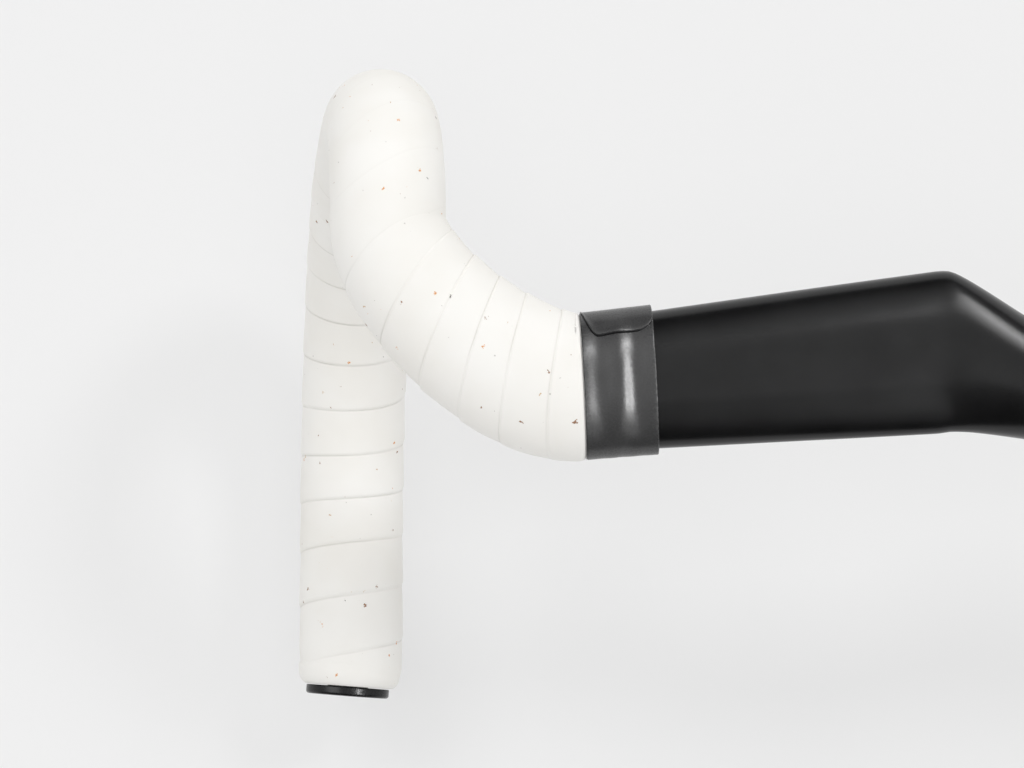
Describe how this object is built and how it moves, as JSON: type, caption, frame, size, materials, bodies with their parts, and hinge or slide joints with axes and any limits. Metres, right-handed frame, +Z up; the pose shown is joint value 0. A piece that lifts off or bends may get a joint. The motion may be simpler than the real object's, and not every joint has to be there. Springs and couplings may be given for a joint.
{
  "type": "taped drop handlebar",
  "caption": "Bicycle drop handlebar with a wing-shaped top, hooks and drops wound in cork grip tape, finishing bands at the inner ends of the tape, and expanding plugs in the bar ends.",
  "frame": {"origin": "middle of the round seat that the stem clamps, on the bar's axis", "axes": "+X along the bar toward the rider's right, +Y forward, +Z up with the ramps level"},
  "size_m": [0.4518, 0.1697, 0.1553],
  "materials": {
    "bar_shell": "satin black paint over a moulded composite shell",
    "cork_tape": "soft matte off-white cork foam with small orange, brown and dark flecks",
    "finishing_vinyl": "satin dark vinyl, slightly stretched",
    "plug_plastic": "black moulded plastic, low sheen",
    "plug_rubber": "black moulded rubber",
    "screw_steel": "zinc-plated steel"
  },
  "bodies": {
    "root": {"handlebar": "bar_shell", "bar_tape_left": "cork_tape", "bar_tape_right": "cork_tape", "finishing_tape_left": "finishing_vinyl", "finishing_tape_right": "finishing_vinyl", "plug_cap_left": "plug_plastic", "plug_cap_right": "plug_plastic", "plug_sleeve_left": "plug_rubber", "plug_sleeve_right": "plug_rubber", "plug_wedge_left": "plug_plastic", "plug_wedge_right": "plug_plastic", "plug_screw_left": "screw_steel", "plug_screw_right": "screw_steel"}
  },
  "joints": []
}
